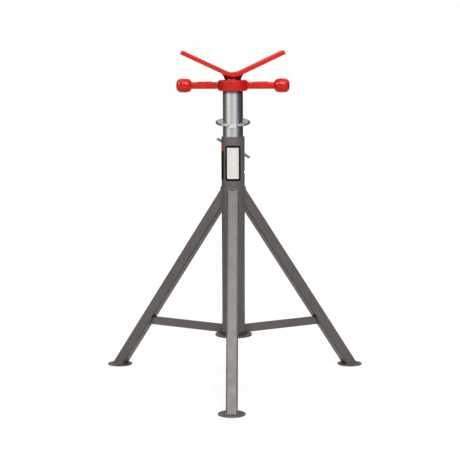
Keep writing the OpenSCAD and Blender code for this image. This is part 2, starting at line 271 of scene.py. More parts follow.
# %% [markdown]
# ## Grey powder coat
# The post, the legs, the feet and the braces have a warm grey, half-gloss powder coat. Powder melts into
# a film with a fine orange peel, about a millimetre from crest to crest, and it is a little thicker and
# paler in some places than in others. One could paint a picture of that; noise at two scales does the
# same with no picture, and it runs across the joints as the real coat does.

# %% Grey paint
WAVES = 0.00012


def powder_coat(name, thin, middle, thick, rough, shine, peel=0.00005, speckle=0.5):
    """Powder coat: clouds of thin and thick film, fine specks, orange peel in colour, gloss and relief."""
    coat = Finish(name, IOR=1.5, Specular_IOR_Level=shine)
    clouds = coat.noise(9, detail=3, roughness=0.6)
    film = coat.noise(70, detail=2)
    specks = coat.noise(1500, detail=1)
    paint = coat.mix(clouds.ramp(0.3, 0.7), thin, thick)
    paint = coat.mix(0.55, paint, middle)
    paint = coat.mix(film.ramp(0.35, 0.7, 0, 0.22), paint, thin)
    paint = coat.mix(specks.ramp(0.62, 0.8, 0, speckle), paint, thick)
    coat.set(Base_Color=paint, Roughness=film.ramp(0.3, 0.75, rough - 0.05, rough + 0.07))
    coat.bump(coat.noise(650, detail=1.5, roughness=0.4), peel)
    coat.bump(coat.noise(60, detail=2), WAVES)
    return coat


grey_paint = powder_coat("grey_powder_coat", thin=(0.112, 0.094, 0.088), middle=(0.142, 0.121, 0.114),
                         thick=(0.170, 0.147, 0.140), rough=0.38, shine=0.40)
print("grey paint has", len(grey_paint.group.nodes), "nodes")

# %% [markdown]
# The coat isn't the same everywhere. Painted shade darkens the undersides of the legs, the pockets between a
# leg and the top of its brace, and the corner round the post's foot, and the flange is painted a little
# darker.
# Each place is a mask of distances: how far a point is from a leg's inner face, how far from the stand's
# axis and how high. A mask's numbers say where it starts and where it is full.

# %% Painted shade and a darker flange on the grey paint
UNDERSIDE = (0.0012, 0.0030)
UNDERSIDE_SHARE = 0.55
CLEAR_OF_POST = (0.028, 0.031)
POCKET = (0.0022, 0.0042)
POCKET_HEIGHTS = (BRACE_TOP - 0.002, BRACE_TOP - 0.001, BRACE_TOP + 0.005, BRACE_TOP + 0.011)
FLANGE_REACH = (0.048, 0.052)
FLANGE_HEIGHTS = (0.100, 0.102, 0.110, 0.112)
FLANGE_SHARE = 0.15
CORNER_REACH = (0.031, 0.034)
CORNER_HEIGHTS = (0.1075, 0.1085, 0.1115, 0.1160)
CORNER_SHARE = 0.80
# Colours of the painted shade under the legs, in the pockets and round the post's foot
UNDERSIDE_SHADE = (0.030, 0.025, 0.024)
POCKET_SHADE = (0.004, 0.003, 0.003)
DARK_FLANGE_AND_CORNER_SHADE = (0.016, 0.012, 0.012)

x, y, z = grey_paint.axes()
# How far out a point is, measured along the nearest of the front, the left and the right leg
sideways = x * math.cos(math.radians(30))
outward = (0 - y).larger(y * 0.5 - sideways).larger(y * 0.5 + sideways)
from_face = (outward - inner_face(z)).size()
# Painted shade on each leg's underside, near its inner face
underside = from_face.ramp(*UNDERSIDE, 1, 0) * outward.ramp(*CLEAR_OF_POST) * UNDERSIDE_SHARE
# Painted shade in the pocket over each brace, where its top meets the leg
pocket = from_face.ramp(*POCKET, 1, 0) * z.band(*POCKET_HEIGHTS)
from_axis = x.distance(y)
# The flange is painted a little darker
on_flange = from_axis.ramp(*FLANGE_REACH, 1, 0) * z.band(*FLANGE_HEIGHTS) * FLANGE_SHARE
# Painted shade in the corner round the post's foot
in_corner = from_axis.ramp(*CORNER_REACH, 1, 0) * z.band(*CORNER_HEIGHTS) * CORNER_SHARE
paint = grey_paint.mix(underside, grey_paint.so_far("Base Color"), UNDERSIDE_SHADE)
paint = grey_paint.mix(pocket, paint, POCKET_SHADE)
grey_paint.set(Base_Color=grey_paint.mix(on_flange.larger(in_corner), paint, DARK_FLANGE_AND_CORNER_SHADE))
print("with its thin and dirty places it has", len(grey_paint.group.nodes))

# %% [markdown]
# ## Red powder coat and red casting
# The V plate is cut from plate and has the same coat in red. The neck under it has a much darker red,
# which is painted shade from the V above it. The spin handle is cast: sand leaves its skin with lumps of a
# millimetre or two, which the paint fills only in part. A hair-fine line stays where the two halves of the
# mould met, and hands have polished the knobs.

# %% Red paints
red_paint = powder_coat("red_powder_coat", thin=(0.62, 0.012, 0.004), middle=(0.74, 0.024, 0.009),
                        thick=(0.80, 0.040, 0.014), rough=0.42, shine=0.18)
# The neck's colour is painted shade: the red coat made dark for the shade under the V
neck_shade_paint = powder_coat("red_thin_coat", thin=(0.26, 0.005, 0.003), middle=(0.32, 0.006, 0.003),
                         thick=(0.42, 0.010, 0.004), rough=0.40, shine=0.2)
red_casting = powder_coat("red_painted_casting", thin=(0.48, 0.005, 0.003), middle=(0.74, 0.013, 0.006),
                          thick=(0.86, 0.030, 0.012), rough=0.34, shine=0.25, peel=0.00002, speckle=0.1)
print("red paints:", red_paint.material.name, neck_shade_paint.material.name, red_casting.material.name)

# %% Skin of the casting
ARM_HEIGHT = 0.68125
HUB_END = (0.034, 0.040)
HUB_SHARE = 0.14
HUB_RED = (0.20, 0.003, 0.002)
KNOB_START = (0.090, 0.096)
KNOB_POLISH = 0.16
KNOB_LUMPS = 0.1
LUMP_RELIEF = 0.0005
PARTING_LINE = (0.0002, 0.0007)
PARTING_RELIEF = 0.00008

x, y, z = red_casting.axes()
from_axis = x.distance(y)
on_hub = from_axis.ramp(*HUB_END, 1, 0)
on_knob = from_axis.ramp(*KNOB_START)
hub_paint = red_casting.mix(on_hub * HUB_SHARE, red_casting.so_far("Base Color"), HUB_RED)
red_casting.set(Base_Color=hub_paint, Roughness=red_casting.so_far("Roughness") - on_knob * KNOB_POLISH)
lumps = red_casting.noise(230, detail=3, roughness=0.6)
red_casting.bump(lumps * (on_hub + on_knob * KNOB_LUMPS), LUMP_RELIEF)
red_casting.bump((z - ARM_HEIGHT).size().ramp(*PARTING_LINE, 1, 0), PARTING_RELIEF)
print("the casting's paint has", len(red_casting.group.nodes), "nodes")

# %% [markdown]
# ## Metals
# The sliding tube is drawn galvanised steel: zinc with very fine rings round it from polishing, which are
# noise squeezed along the tube. A dark band of painted shade runs round it just under the handle's hub,
# where the hub shades it and is mirrored dark in it.

# %% Galvanised tube
HUB_BOTTOM = 0.669
HUB_SHADE_BAND = (HUB_BOTTOM - 0.008, HUB_BOTTOM - 0.001)
HUB_SHADE_SHARE = 0.93
HUB_SHADE_COLOUR = (0.035, 0.022, 0.021)

tube_zinc = Finish("galvanised_tube", Metallic=1.0)
rings = tube_zinc.noise(1, detail=3, roughness=0.65, stretch=(14, 14, 2600))
bands = tube_zinc.noise(1, detail=2, stretch=(9, 9, 240))
blotches = tube_zinc.noise(35, detail=3, roughness=0.6)
zinc = tube_zinc.mix(rings.ramp(0.3, 0.7), (0.50, 0.50, 0.51), (0.70, 0.70, 0.71))
zinc = tube_zinc.mix(blotches.ramp(0.4, 0.7, 0, 0.35), zinc, (0.56, 0.555, 0.55))
zinc = tube_zinc.mix(bands.ramp(0.55, 0.75, 0, 0.3), zinc, (0.46, 0.455, 0.45))
# Painted shade: a dark band round the tube just under the hub
hub_shade = tube_zinc.axes()[2].ramp(*HUB_SHADE_BAND) * HUB_SHADE_SHARE
tube_zinc.set(Base_Color=tube_zinc.mix(hub_shade, zinc, HUB_SHADE_COLOUR),
              Roughness=rings * 0.12 + blotches * 0.1 + 0.20)
tube_zinc.bump(rings, 0.00002)
print("the tube's zinc has", len(tube_zinc.group.nodes), "nodes")

# %% [markdown]
# The bolts and the washers have bright zinc plate, the cross bar is darker, the pad is brass, and the
# small screw in the neck is blackened. The jack screw is bare steel; its top under the head is darkened and
# tinted red by painted shade and a painted reflection of the red parts round it.

# %% Plated and bare metals
SCREW_HEAD_SHADE = (0.6865, 0.6885)
SHADED_RED_STEEL = (0.19, 0.120, 0.115)


def plated(name, dark, light, smoothest, roughest):
    """Plated or bare metal whose tint and gloss drift from place to place."""
    metal = Finish(name, Metallic=1.0)
    drift = metal.noise(44, detail=3, roughness=0.6)
    scuffs = metal.noise(1100, detail=2)
    metal.set(Base_Color=metal.mix(drift.ramp(0.3, 0.7), dark, light),
              Roughness=(drift * 0.5 + scuffs * 0.5).ramp(0.35, 0.65, smoothest, roughest))
    metal.bump(scuffs, 0.00003)
    return metal


bright_zinc = plated("bright_zinc", (0.57, 0.55, 0.54), (0.74, 0.72, 0.71), 0.20, 0.34)
ring_zinc = plated("dull_zinc", (0.50, 0.445, 0.428), (0.76, 0.680, 0.660), 0.20, 0.30)
chrome = plated("chromed_bar", (0.20, 0.205, 0.20), (0.30, 0.305, 0.30), 0.10, 0.16)
brass = plated("brass", (0.42, 0.26, 0.09), (0.60, 0.42, 0.17), 0.28, 0.45)
black_steel = plated("black_steel", (0.020, 0.019, 0.018), (0.045, 0.043, 0.041), 0.35, 0.5)
screw_steel = plated("screw_steel", (0.38, 0.38, 0.38), (0.62, 0.61, 0.60), 0.24, 0.40)
# Painted shade and a painted red reflection at the screw's top, under the head
under_head_shade = screw_steel.axes()[2].ramp(*SCREW_HEAD_SHADE)
screw_steel.set(Base_Color=screw_steel.mix(under_head_shade, screw_steel.so_far("Base Color"), SHADED_RED_STEEL))
print("metals:", bright_zinc.material.name, chrome.material.name, screw_steel.material.name)

# %% [markdown]
# The lock ring's zinc is worn: fingers have dulled its front. Painted shade darkens the sides of its rim
# and the lower half of its front edge beside the tab. The ring stands tilted, so these masks measure along
# its own sheet.

# %% Worn zinc of the lock ring
RING_HEIGHT = 0.598
RING_TILT = math.radians(11.5)
LOWER_HALF = (-0.0003, 0.0003)
BESIDE_TAB = (0.0086, 0.0090)
RING_SIDE = (0.0255, 0.0270)
RING_RIM = (0.0350, 0.0360)
RING_BACK = (0.008, 0.012)
WORN_FRONT = (-0.0200, -0.0170)
WORN_SIDE = (0.0250, 0.0265)
WORN_ZINC = (0.43, 0.425, 0.42)
WORN_ROUGHNESS = 0.35
RIM_SHADE = (0.04, 0.036, 0.034)

x, y, z = ring_zinc.axes()
from_axis = x.distance(y * (1 / math.cos(RING_TILT)))
above_sheet = (z - RING_HEIGHT) * math.cos(RING_TILT) - y * math.sin(RING_TILT)
# Painted shade under the front edge beside the tab and on the rim's sides
underneath = above_sheet.ramp(*LOWER_HALF, 1, 0) * x.size().ramp(*BESIDE_TAB)
at_side = x.size().ramp(*RING_SIDE).larger(underneath)
at_rim = from_axis.ramp(*RING_RIM) * at_side * y.ramp(*RING_BACK, 1, 0)
worn = y.ramp(*WORN_FRONT, 1, 0) * x.size().ramp(*WORN_SIDE, 1, 0)
zinc = ring_zinc.mix(worn, ring_zinc.so_far("Base Color"), WORN_ZINC)
ring_zinc.set(Base_Color=ring_zinc.mix(at_rim, zinc, RIM_SHADE),
              Roughness=ring_zinc.so_far("Roughness") + worn * WORN_ROUGHNESS)
print("the ring's zinc has", len(ring_zinc.group.nodes), "nodes")

# %% [markdown]
# ## Labels
# The front label is a silver film with a black, round-cornered border. The side label is black with an
# orange band at its top. The border follows the label's own outline: the distance round the post is the
# angle times the radius, and a rounded rectangle's distance formula gives how far each point lies inside
# the edge.

# %% Front label
LABEL_LOW, LABEL_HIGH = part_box("front_label")
LABEL_RADIUS = 0.0268
LABEL_HALF_ARC = LABEL_RADIUS * math.asin((LABEL_HIGH.x - LABEL_LOW.x) / 2 / LABEL_RADIUS)
LABEL_HALF_HEIGHT = (LABEL_HIGH.z - LABEL_LOW.z) / 2
LABEL_MIDDLE = (LABEL_HIGH.z + LABEL_LOW.z) / 2
LABEL_CORNER = 0.004
BORDER = 0.0047
PRINT_BLUR = 0.0002

label_silver = Finish("label_silver_film", IOR=1.5, Specular_IOR_Level=0.04)
x, y, z = label_silver.axes()
over_x = (x.angle(0 - y) * LABEL_RADIUS).size() - (LABEL_HALF_ARC - LABEL_CORNER)
over_z = (z - LABEL_MIDDLE).size() - (LABEL_HALF_HEIGHT - LABEL_CORNER)
corner = over_x.larger(0).distance(over_z.larger(0)) + over_x.larger(over_z).smaller(0)
border = (LABEL_CORNER - corner).ramp(BORDER - PRINT_BLUR, BORDER + PRINT_BLUR, 1, 0)
grain = label_silver.noise(1, detail=2, stretch=(60, 60, 1800))
field = label_silver.mix(grain, (0.78, 0.76, 0.70), (0.90, 0.88, 0.82))
label_silver.set(Base_Color=label_silver.mix(border, field, (0.004, 0.004, 0.004)),
                 Metallic=(1 - border) * 0.25,
                 Roughness=border * 0.08 + grain * 0.1 + 0.30)
label_silver.bump(border, 0.00004)
label_silver.bump(grain, 0.00001)
print("front label border", BORDER, "m")

# %% Side label
BAND = 0.010
BAND_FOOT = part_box("side_label")[1].z - BAND

label_black = Finish("label_black_film", IOR=1.5, Specular_IOR_Level=0.05)
band = label_black.axes()[2].ramp(BAND_FOOT - PRINT_BLUR, BAND_FOOT + PRINT_BLUR)
grain = label_black.noise(900, detail=2)
film = label_black.mix(grain, (0.005, 0.004, 0.004), (0.010, 0.009, 0.009))
label_black.set(Base_Color=label_black.mix(band, film, (0.60, 0.070, 0.022)),
                Roughness=grain * 0.12 + 0.30)
label_black.bump(grain, 0.00001)
print("side label band", BAND, "m")

# %% [markdown]
# ## Give each CAD piece its finish
# Most pieces already have the right shape, so they stay and only get a finish in their material slots.

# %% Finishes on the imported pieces
FINISHES = {
    grey_paint: ["post", "post_flange", "leg_front", "leg_left", "leg_right", "foot_front", "foot_left",
                 "foot_right", "brace_front", "brace_left", "brace_right", "clamp_nut"],
    red_paint: ["v_plate"],
    neck_shade_paint: ["head_stem"],
    red_casting: ["handle"],
    tube_zinc: ["inner_tube"],
    bright_zinc: ["guide_bolt", "clamp_screw", "thrust_washer", "stop_washer", "stop_bolt"],
    ring_zinc: ["lock_ring"],
    chrome: ["clamp_bar"],
    screw_steel: ["jack_screw"],
    brass: ["clamp_pad"],
    black_steel: ["head_lock_screw"],
    label_silver: ["front_label"],
    label_black: ["side_label"],
}
for finish, names in FINISHES.items():
    for name in names:
        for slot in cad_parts[name].material_slots:
            slot.material = finish.material
print("finishes set on", sum(len(names) for names in FINISHES.values()), "pieces")

# %% [markdown]
# ## Tools for making a mesh
# A turned piece is an outline of (radius, height) points spun round Z. A corner in that outline can be
# rounded first, so a piece has the soft edges that catch light.

# %% Outlines and turned shapes
ON_AXIS = 1e-6


def circle(radius, count, first=0.0):
    """Points (x, y) evenly round a circle."""
    return [(radius * math.cos(first + 2 * math.pi * k / count),
             radius * math.sin(first + 2 * math.pi * k / count)) for k in range(count)]


def rounded(points, steps=4, loop=True):
    """Outline whose corners (x, y, radius) are rounded to arcs of that radius."""
    outline = []
    count = len(points)
    for i, (px, py, radius) in enumerate(points):
        here = Vector((px, py))
        if radius <= 0 or (not loop and i in (0, count - 1)):
            outline.append((px, py))
            continue
        back = (Vector(points[i - 1][:2]) - here).normalized()
        ahead = (Vector(points[(i + 1) % count][:2]) - here).normalized()
        half = back.angle(ahead) / 2
        centre = here + (back + ahead).normalized() * (radius / math.sin(half))
        start = here + back * (radius / math.tan(half)) - centre
        end = here + ahead * (radius / math.tan(half)) - centre
        sweep = start.angle_signed(end)
        for k in range(steps + 1):
            spoke = start.copy()
            spoke.rotate(Matrix.Rotation(-sweep * k / steps, 2))
            outline.append(tuple(centre + spoke))
    return outline


def turned(outline, sides=96, loop=True):
    """Spin an outline of (radius, height) round Z. A point on the axis becomes a pole."""
    made = bmesh.new()
    rows = []
    for radius, height in outline:
        if radius < ON_AXIS:
            rows.append([made.verts.new((0, 0, height))] * sides)
        else:
            rows.append([made.verts.new((px, py, height)) for px, py in circle(radius, sides)])
    pairs = list(zip(rows, rows[1:])) + ([(rows[-1], rows[0])] if loop else [])
    for low, high in pairs:
        for k in range(sides):
            corners = []
            for vert in (low[k], low[(k + 1) % sides], high[(k + 1) % sides], high[k]):
                if vert not in corners:
                    corners.append(vert)
            if len(corners) > 2:
                made.faces.new(corners)
    return made


# %% [markdown]
# `to_object` makes a drawn shape an object, `settle` turns live modifiers into a plain mesh, and `dress`
# gives a finished piece its material, its body and the CAD piece that it stands for.

# %% From shapes to finished pieces
DOUBLES = 1e-7


def shade(piece, smooth_below=40):
    """Smooth shading across every edge flatter than an angle in degrees."""
    piece.data.shade_smooth()
    piece.data.set_sharp_from_angle(angle=math.radians(smooth_below))


def to_object(made, name):
    """Mesh object from a bmesh: doubles merged, faces outward, shaded smooth."""
    bmesh.ops.remove_doubles(made, verts=made.verts, dist=DOUBLES)
    bmesh.ops.recalc_face_normals(made, faces=made.faces)
    mesh = bpy.data.meshes.new(name)
    made.to_mesh(mesh)
    made.free()
    piece = placed(name, mesh)
    shade(piece)
    return piece


def settle(piece, smooth_below=40):
    """Replace a piece's live modifiers by the mesh that they give."""
    depsgraph = bpy.context.evaluated_depsgraph_get()
    mesh = bpy.data.meshes.new_from_object(piece.evaluated_get(depsgraph))
    piece.modifiers.clear()
    piece.data = mesh
    shade(piece, smooth_below)
    return piece


def soften(piece, width):
    """Round every sharp edge, as a deburred or painted edge is."""
    bevel = piece.modifiers.new("edge", "BEVEL")
    bevel.width = width
    bevel.segments = 3
    bevel.limit_method = "ANGLE"
    bevel.angle_limit = math.radians(30)
    bevel.harden_normals = False
    return settle(piece)


def dress(piece, finish, body, slot, *replaced):
    """Give a finished piece its material, its body and the CAD pieces that it stands for; slot is not used.
    """
    piece.data.materials.clear()
    piece.data.materials.append(finish.material)
    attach(piece, body)
    if replaced:
        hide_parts(*replaced)
    faces = sum(len(face.vertices) - 2 for face in piece.data.polygons)
    print(piece.name, "rides on", body, "with", faces, "triangles")


# %% [markdown]
# ## The V plate
# The V is flame cut from 9 mm plate and bent once in the middle. Its outline from the side is a bent
# strip. The strip is drawn as two lines, one on each face, closed at the tips, pushed out over the
# plate's width, and its edges are broken by a small bevel as a grinder leaves them.

# %% V plate
V_THICK = 0.009
V_DEPTH = 0.048
V_ARM = 0.1075
V_SLOPE = math.radians(25)
V_BEND = 0.040
V_EDGE = 0.0006
V_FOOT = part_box("v_plate")[0].z
HEAD_TURN = math.radians(7)


def bent_line(radius, steps=16):
    """Right half of a line round the bend at that radius, then along the straight arm."""
    arc = [(radius * math.sin(V_SLOPE * i / steps), -radius * math.cos(V_SLOPE * i / steps))
           for i in range(steps + 1)]
    tip = (arc[-1][0] + V_ARM * math.cos(V_SLOPE), arc[-1][1] + V_ARM * math.sin(V_SLOPE))
    return arc + [tip]


def v_outline():
    """Outline of the bent strip, from the left tip along the underside and back along the top."""
    under = bent_line(V_BEND + V_THICK)
    over = bent_line(V_BEND)
    return ([(-px, py) for px, py in reversed(under)] + under[1:]
            + list(reversed(over)) + [(-px, py) for px, py in over[1:]])


def v_plate():
    centre = V_FOOT + V_BEND + V_THICK
    made = bmesh.new()
    walls = []
    for side in (-V_DEPTH / 2, V_DEPTH / 2):
        walls.append([made.verts.new((px, side, centre + py)) for px, py in v_outline()])
    count = len(walls[0])
    for i in range(count):
        j = (i + 1) % count
        made.faces.new((walls[0][i], walls[0][j], walls[1][j], walls[1][i]))
    for wall in walls:
        # Each side is a strip of quads between the lower and the upper line
        for i in range(count // 2 - 1):
            made.faces.new((wall[i], wall[i + 1], wall[count - 2 - i], wall[count - 1 - i]))
    bmesh.ops.transform(made, matrix=Matrix.Rotation(HEAD_TURN, 4, "Z"), verts=made.verts)
    return soften(to_object(made, "v_plate_cut"), V_EDGE)


dress(v_plate(), red_paint, "head", "red_plate", "v_plate")

# %% [markdown]
# ## The spin handle
# The handle is one casting: a thick hub with a chamfered rim, two arms with a raised pad, and two barrel
# knobs that swell a little in the middle. Each arm is a row of sections, from its wide root in the hub
# over the pad to the knob, with a skin drawn through them.

# %% Shapes of the handle
HUB_TOP = 0.6935
HUB_RADIUS = 0.0335
HUB_CHAMFER = 0.0025
RECESS_TOP = 0.675
RECESS_RADIUS = 0.0236
BORE_RADIUS = 0.0194
HANDLE_TURN = math.radians(-4)
ARM_THICK = 0.013
ARM_TALL = 0.0155
ARM_ROUND = 0.004
# Where the arm's root narrows, and how much thicker than the arm it is there
ARM_ROOT = [(0.0262, 0.006), (0.0345, 0.003), (0.0385, 0)]
PAD_LONG = 0.031
PAD_TALL = 0.0014
PAD_FOOT = 0.002
PAD_SHOULDER = 0.001
KNOB_RADIUS = 0.01625
KNOB_LONG = 0.0347
KNOB_ROUND = 0.0105
KNOB_CROWN = 0.0014
KNOB_SWELL = 0.045
KNOB_PLACE = 0.1114


def lofted(sections):
    """Closed solid through sections, each a list of points in space with the same count."""
    made = bmesh.new()
    rows = [[made.verts.new(point) for point in section] for section in sections]
    for low, high in zip(rows, rows[1:]):
        for k in range(len(low)):
            j = (k + 1) % len(low)
            made.faces.new((low[k], low[j], high[j], high[k]))
    made.faces.new(rows[0])
    made.faces.new(rows[-1])
    return made


def hub_shape():
    return turned(rounded([
        (HUB_RADIUS - HUB_CHAMFER, HUB_BOTTOM, 0), (HUB_RADIUS, HUB_BOTTOM + HUB_CHAMFER, 0),
        (HUB_RADIUS, HUB_TOP - HUB_CHAMFER, 0), (HUB_RADIUS - HUB_CHAMFER, HUB_TOP, 0),
        (BORE_RADIUS, HUB_TOP, 0), (BORE_RADIUS, RECESS_TOP, 0), (RECESS_RADIUS, RECESS_TOP, 0),
        (RECESS_RADIUS, HUB_BOTTOM, 0)]))


def arm_section(along, thicker, taller):
    """Rounded rectangle across an arm, thicker or with a taller top than the plain arm."""
    half = (ARM_THICK + thicker) / 2
    low, high = -ARM_TALL / 2, ARM_TALL / 2 + taller
    outline = rounded([(-half, low, ARM_ROUND), (half, low, ARM_ROUND), (half, high, ARM_ROUND),
                       (-half, high, ARM_ROUND)], steps=3)
    return [(along, px, ARM_HEIGHT + py) for px, py in outline]


def arm_shape():
    middle = (HUB_RADIUS + KNOB_PLACE - KNOB_LONG / 2) / 2
    start = middle - PAD_LONG / 2
    end = middle + PAD_LONG / 2
    sections = [(place, thicker, 0) for place, thicker in ARM_ROOT]
    sections += [(start - PAD_FOOT, 0, 0), (start + PAD_SHOULDER, 0, PAD_TALL),
                 (end - PAD_SHOULDER, 0, PAD_TALL), (end + PAD_FOOT, 0, 0), (KNOB_PLACE, 0, 0)]
    return lofted([arm_section(*section) for section in sections])


def knob_shape():
    half = KNOB_LONG / 2
    slim = KNOB_RADIUS - KNOB_CROWN
    knob = turned(rounded([(0, -half, 0), (slim, -half, KNOB_ROUND), (KNOB_RADIUS, 0, KNOB_SWELL),
                           (slim, half, KNOB_ROUND), (0, half, 0)], steps=8, loop=False),
                  sides=64, loop=False)
    place = Matrix.Translation((KNOB_PLACE, 0, ARM_HEIGHT)) @ Matrix.Rotation(math.pi / 2, 4, "Y")
    bmesh.ops.transform(knob, matrix=place, verts=knob.verts)
    return knob


# %% [markdown]
# A casting has no sharp corner, because sand can't hold one. So the rough shapes are put through each
# other, one voxel remesh joins them into a single skin, a few rounds of smoothing fill the inner corners,
# and a little noise moves the skin as sand does. The hub is the roughest and the arms are the smoothest.

# %% Cast the handle
CASTING_VOXEL = 0.00065
SMOOTHING_ROUNDS = 8
SAND_DEPTH = 0.00035
SAND_SCALE = 160
HUB_SAND = 1.0
ARM_SAND = 0.10
KNOB_SAND = 0.35
CASTING_SMOOTH = 75


def gather(parts):
    """One bmesh with all the faces of several."""
    whole = bmesh.new()
    for part in parts:
        bmesh.ops.recalc_face_normals(part, faces=part.faces)
        mesh = bpy.data.meshes.new("part")
        part.to_mesh(mesh)
        part.free()
        whole.from_mesh(mesh)
        bpy.data.meshes.remove(mesh)
    return whole


def sand(out):
    """Share of the sand's unevenness at a distance from the stand's axis."""
    if out < HUB_RADIUS + 0.002:
        return HUB_SAND
    return KNOB_SAND if out > KNOB_PLACE - KNOB_LONG / 2 else ARM_SAND


def spin_handle():
    parts = [hub_shape()]
    for side in (0, math.pi):
        for part in (arm_shape(), knob_shape()):
            bmesh.ops.transform(part, matrix=Matrix.Rotation(side + HANDLE_TURN, 4, "Z"), verts=part.verts)
            parts.append(part)
    piece = to_object(gather(parts), "spin_handle_casting")
    skin = piece.modifiers.new("skin", "REMESH")
    skin.mode = "VOXEL"
    skin.voxel_size = CASTING_VOXEL
    flow = piece.modifiers.new("flow", "SMOOTH")
    flow.factor = 0.5
    flow.iterations = SMOOTHING_ROUNDS
    settle(piece)
    normals = [vert.normal.copy() for vert in piece.data.vertices]
    for vert, normal in zip(piece.data.vertices, normals):
        lump = noise.fractal(vert.co * SAND_SCALE, 0.8, 2.2, 3)
        vert.co += normal * SAND_DEPTH * sand(vert.co.xy.length) * max(-1.0, min(1.0, lump))
    shade(piece, CASTING_SMOOTH)
    return piece


dress(spin_handle(), red_casting, "spin_handle", "red_casting", "handle")

# %% [markdown]
# ## The lock ring
# A stamped washer that tilts on the tube and grips it. Its front edge has two notches, and the tab
# between them is bent down for a finger. It is drawn flat as a strip of faces between the hole and the
# rim, the tab is added row by row as it bends, the sheet gets its thickness, and its edges are rolled a
# little as stamping leaves them.

# %% Lock ring
RING_THICK = 0.0026
RING_RADIUS = 0.0395
RING_HOLE = 0.0242
RING_EDGE = 0.0005
RIM_STEPS = 64
NOTCH_SIDE = 0.0135
TAB_HALF = 0.00825
TAB_ROOT = 0.0315
TAB_BEND = math.radians(28)
TAB_HALF_STRIPS = 4
TAB_ROWS = 5
BEND_ROWS = 2


def lock_ring():
    made = bmesh.new()
    tab_edge = math.atan2(TAB_HALF, TAB_ROOT)
    notch_inner = math.atan2(NOTCH_SIDE, TAB_ROOT)
    notch_outer = math.asin(NOTCH_SIDE / RING_RADIUS)
    # Angles from the front: across the tab, over one notch, round the back, over the other notch
    straight = [tab_edge * k / TAB_HALF_STRIPS for k in range(-TAB_HALF_STRIPS, TAB_HALF_STRIPS + 1)]
    straight.append(notch_inner)
    back = [notch_outer + (2 * math.pi - 2 * notch_outer) * k / RIM_STEPS for k in range(RIM_STEPS + 1)]
    angles = straight + back + [2 * math.pi - notch_inner]
    rims = [TAB_ROOT / math.cos(angle) for angle in straight]
    rims += [RING_RADIUS] * len(back) + [TAB_ROOT / math.cos(notch_inner)]

    def row_of(radii):
        return [made.verts.new((radius * math.sin(angle), -radius * math.cos(angle), 0))
                for radius, angle in zip(radii, angles)]

    hole = row_of([RING_HOLE] * len(angles))
    rim = row_of(rims)
    for i in range(len(angles)):
        j = (i + 1) % len(angles)
        made.faces.new((hole[i], hole[j], rim[j], rim[i]))
    root = rim[:2 * TAB_HALF_STRIPS + 1]
    last = root
    for step in range(1, TAB_ROWS + 1):
        reach = (RING_RADIUS - TAB_ROOT) * step / TAB_ROWS
        bend = TAB_BEND * min(1.0, step / BEND_ROWS)
        row = [made.verts.new((vert.co.x, -TAB_ROOT - reach * math.cos(bend), -reach * math.sin(bend)))
               for vert in root]
        for k in range(len(row) - 1):
            made.faces.new((last[k], last[k + 1], row[k + 1], row[k]))
        last = row
    piece = to_object(made, "lock_ring_stamped")
    sheet = piece.modifiers.new("thickness", "SOLIDIFY")
    sheet.thickness = RING_THICK
    sheet.offset = 0
    soften(settle(piece), RING_EDGE)
    piece.data.transform(Matrix.Translation((0, 0, RING_HEIGHT)) @ Matrix.Rotation(RING_TILT, 4, "X"))
    return piece


dress(lock_ring(), ring_zinc, "lock_ring", "bright_zinc", "lock_ring")

# %% [markdown]
# ## Weld beads
# Every joint of the frame is welded. A bead is a rope of overlapping ripples, about 5 mm wide, half sunk
# in the corner that it fills. Each joint's line can be worked out: where a square tube meets a round
# post, where it meets the flat foot, round the foot of the post, round the clamp's nut, and up and over
# each brace. First come the lines, for one leg that stands towards +X, and then they are turned.

# %% Lines on a leg
LEG_CORNER = 0.004
LEG_OUTLINE = rounded([(LEG_HALF, LEG_HALF, LEG_CORNER), (-LEG_HALF, LEG_HALF, LEG_CORNER),
                       (-LEG_HALF, -LEG_HALF, LEG_CORNER), (LEG_HALF, -LEG_HALF, LEG_CORNER)], steps=5)
BRACE_HALF = 0.003
OUTLINE_STEP = 0.002
FOOT_BEAD_RISE = 0.0006


def leg_point(along, up, across):
    """Point on a leg: along its length, up from its line and across it."""
    return (FOOT_CIRCLE - along * SIN_LEAN + up * COS_LEAN, across,
            FOOT_THICK + along * COS_LEAN + up * SIN_LEAN)


def dense(points, step=0.003, loop=True):
    """The same line with a point at least every step."""
    line = []
    pairs = list(zip(points, points[1:])) + ([(points[-1], points[0])] if loop else [])
    for a, b in pairs:
        a, b = Vector(a), Vector(b)
        parts = max(1, math.ceil((b - a).length / step))
        line += [a.lerp(b, k / parts) for k in range(parts)]
    return line if loop else line + [Vector(points[-1])]


def leg_top_line():
    line = []
    for up, across in dense(LEG_OUTLINE, OUTLINE_STEP):
        reach = math.sqrt(POST_RADIUS ** 2 - across ** 2)
        line.append(leg_point((FOOT_CIRCLE + up * COS_LEAN - reach) / SIN_LEAN, up, across))
    return line


def leg_foot_line():
    line = [leg_point(-up * SIN_LEAN / COS_LEAN, up, across)
            for up, across in dense(LEG_OUTLINE, OUTLINE_STEP)]
    return [(px, py, pz + FOOT_BEAD_RISE) for px, py, pz in line]


def brace_lines():
    """Beads up one side of a brace, over its top and down the other, at the leg and at the post."""
    reach = math.sqrt(POST_RADIUS ** 2 - BRACE_HALF ** 2)
    lines = []
    for low, high in ((inner_face(POST_FOOT), inner_face(BRACE_TOP)), (reach, reach)):
        lines.append([(low, -BRACE_HALF, POST_FOOT), (high, -BRACE_HALF, BRACE_TOP),
                      (high, BRACE_HALF, BRACE_TOP), (low, BRACE_HALF, POST_FOOT)])
    return lines


# %% All welds of the frame
LEG_TURNS = [math.radians(a) for a in (-90, 150, 30)]
LEG_BEAD = 0.0030
FOOT_BEAD = 0.0024
BRACE_BEAD = 0.0021
POST_BEAD = 0.0024
NUT_BEAD = 0.0020
ROUND_POINTS = 72
CLAMP_HEIGHT = 0.535
NUT_HALF = 0.012
NUT_CORNER = NUT_HALF / math.cos(math.radians(30))

